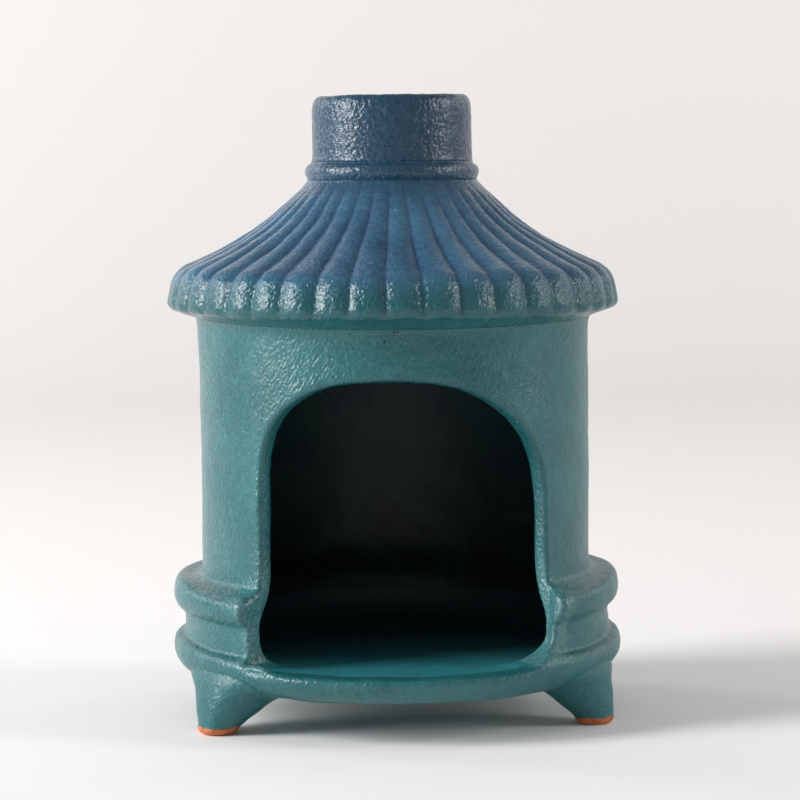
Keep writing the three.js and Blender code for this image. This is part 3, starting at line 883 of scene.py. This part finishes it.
        # painted shade: the tray's inner faces behind the front of the doorway are painted darker
        col = g.mix(g.op("MULTIPLY", inner, g.step(g.y, -52, -30)), col, srgb(16, 52, 56))
    if part == "foot":
        edge = g.op("ADD", 2.55, g.op("ADD", g.op("MULTIPLY", g.op("SUBTRACT", mid, .5), 2.2),
                                      g.op("MULTIPLY", g.op("SUBTRACT", small, .5), .8)))
        bare = g.step(g.op("SUBTRACT", g.z, edge), .12, -.12)
        thin = g.op("MULTIPLY", g.step(g.op("SUBTRACT", g.z, edge), 1.0, 0.0), .6)
        col = g.mix(thin, col, srgb(96, 92, 78))
        clay = g.mix(g.step(g.noise(1.5, 4, .7), .3, .7), LOOK["clay_dark"], LOOK["clay"])
        clay = g.mix(g.spots(1.7, .22, .35, 5), clay, srgb(92, 56, 42))
        col = g.mix(bare, col, clay)
        rough = g.op("ADD", rough, g.op("MULTIPLY", bare, .45))
    # pinholes and pale specks
    pin = g.spots(6.0, .26, .16)
    speck = g.spots(8.0, .24, .35, 11)
    col = g.mix(g.op("MULTIPLY", pin, .7), col, srgb(24, 34, 38))
    col = g.mix(g.op("MULTIPLY", speck, .75), col, srgb(196, 204, 204))
    right = g.step(g.x, 6.0, 60.0)
    rough = g.op("ADD", rough, g.op("MULTIPLY", right, .10))
    calm = 1.0
    if part in ("drum", "tray"):
        hidden = inner if part == "drum" else floor
        rough = g.op("ADD", rough, g.op("MULTIPLY", hidden, .28))
        calm = g.op("SUBTRACT", 1.0, g.op("MULTIPLY", hidden, .55))

    # relief: fired grain, wrinkles where the glaze is thick, pinholes
    h1 = g.op("MULTIPLY", g.op("ADD", stroke, g.op("MULTIPLY", fine, .22)), calm)
    n1 = g.bump(h1, STROKE_MM[part])
    n1 = g.bump(g.op("MULTIPLY", peel, calm), PEEL_MM[part], n1)
    h2 = g.op("MULTIPLY", wrinkle, lit) if not isinstance(lit, float) else (wrinkle if lit else None)
    if h2 is not None:
        n1 = g.bump(h2, WRINKLE_MM[part], n1)
    n1 = g.bump(g.op("ADD", small, g.op("MULTIPLY", mid, 2.0)), .05, n1)
    n1 = g.bump(g.op("MULTIPLY", pin, -1.0), .12, n1)
    g.put(g.bsdf.inputs["Base Color"], col)
    g.put(g.bsdf.inputs["Roughness"], rough)
    g.put(g.bsdf.inputs["Normal"], n1)
    g.bsdf.inputs["IOR"].default_value = 1.52
    return g.mat


MATS = {k: glaze("glaze_" + k, k) for k in ("drum", "tray", "foot", "roof", "pipe")}
for name, ob in PIECES.items():
    kind = ("drum" if "drum" in name else "tray" if "tray" in name else "foot" if "foot" in name
            else "roof" if "roof" in name else "pipe")
    ob.data.materials.append(MATS[kind])

# ---------------------------------------------------------------- the studio

half, depth, rise = 3.0, 2.2, 1.6
prof = [(-2.5, 0.0), (depth - 0.8, 0.0)]
for k in range(1, 13):
    a = math.pi / 2 * k / 12
    prof.append((depth - 0.8 + 0.8 * math.sin(a), 0.8 - 0.8 * math.cos(a)))
prof.append((depth, rise + 1.2))
fv = [(x, y, z) for y, z in prof for x in (-half, half)]
ff = [(2 * i, 2 * i + 1, 2 * i + 3, 2 * i + 2) for i in range(len(prof) - 1)]
floor_me = bpy.data.meshes.new("floor")
floor_me.from_pydata(fv, [], ff)
for pl in floor_me.polygons:
    pl.use_smooth = True
floor_ob = bpy.data.objects.new("studio_floor", floor_me)
bpy.context.scene.collection.objects.link(floor_ob)
fm = Net("studio_paper")
paper = fm.mix(fm.step(fm.y, 200, 1500), (0.955, 0.935, 0.925, 1), (0.825, 0.808, 0.80, 1))
fm.put(fm.bsdf.inputs["Base Color"], fm.mix(fm.op("MULTIPLY", fm.noise(3.0, 3), .03), paper, (.5, .49, .48, 1)))
fm.put(fm.bsdf.inputs["Normal"], fm.bump(fm.noise(.8, 3), .02))
fm.bsdf.inputs["Roughness"].default_value = 0.9
fm.bsdf.inputs["Specular IOR Level"].default_value = 0.15
floor_me.materials.append(fm.mat)


def soft_box(name, loc, target, size, power, colour=(1, 1, 1)):
    light = bpy.data.lights.new(name, "AREA")
    light.shape = "RECTANGLE"
    light.size, light.size_y = size
    light.energy = power
    light.color = colour
    ob = bpy.data.objects.new(name, light)
    ob.location = loc
    ob.rotation_mode = "QUATERNION"
    ob.rotation_quaternion = (Vector(target) - Vector(loc)).to_track_quat("-Z", "Y")
    bpy.context.scene.collection.objects.link(ob)
    return ob


soft_box("left_softbox", (-1.75, -0.42, 0.80), (0, 0, 0.11), (0.72, 1.15), 44)
soft_box("right_softbox", (1.90, -0.42, 0.80), (0, 0, 0.11), (0.6, 0.95), 13)
soft_box("backdrop_left", (-1.7, 1.15, 0.95), (0.1, 2.2, 0.6), (0.8, 1.0), 15)
soft_box("backdrop_right", (1.8, 1.15, 0.95), (0.2, 2.2, 0.6), (0.8, 1.0), 9)

world = bpy.data.worlds.new("studio")
bpy.context.scene.world = world
world.use_nodes = True
world.node_tree.nodes["Background"].inputs[0].default_value = (1, 0.985, 0.98, 1)
world.node_tree.nodes["Background"].inputs[1].default_value = 0.32

# ----------------------------------------------------------------- the camera

S = 0.35726 * MM * K                               # metres per unit of the view model
AZ = math.radians(-3.2)
PITCH = math.radians(4.574)
DIST, HIGH = 3000 * S, 552.5 * S
cam_data = bpy.data.cameras.new("camera")
cam_data.lens = 135.0
cam_data.sensor_width = 36.0
cam_data.clip_start, cam_data.clip_end = 0.05, 20
cam = bpy.data.objects.new("camera", cam_data)
bpy.context.scene.collection.objects.link(cam)
cam.location = (DIST * math.sin(AZ), -DIST * math.cos(AZ), HIGH)
yaw = 6.1 / 3000.0             # the object stands a little left of the middle
fwd = Vector((-math.sin(AZ - yaw) * math.cos(PITCH), math.cos(AZ - yaw) * math.cos(PITCH), -math.sin(PITCH)))
right = fwd.cross(Vector((0, 0, 1))).normalized()
up = right.cross(fwd).normalized()
roll = math.radians(0.64)
r2 = right * math.cos(roll) + up * math.sin(roll) * -1
u2 = r2.cross(fwd).normalized()
cam.matrix_world = Matrix((
    (r2.x, u2.x, -fwd.x, cam.location.x),
    (r2.y, u2.y, -fwd.y, cam.location.y),
    (r2.z, u2.z, -fwd.z, cam.location.z),
    (0, 0, 0, 1)))
bpy.context.scene.camera = cam
bpy.context.scene.view_settings.view_transform = "Standard"
bpy.context.scene.view_settings.look = "None"
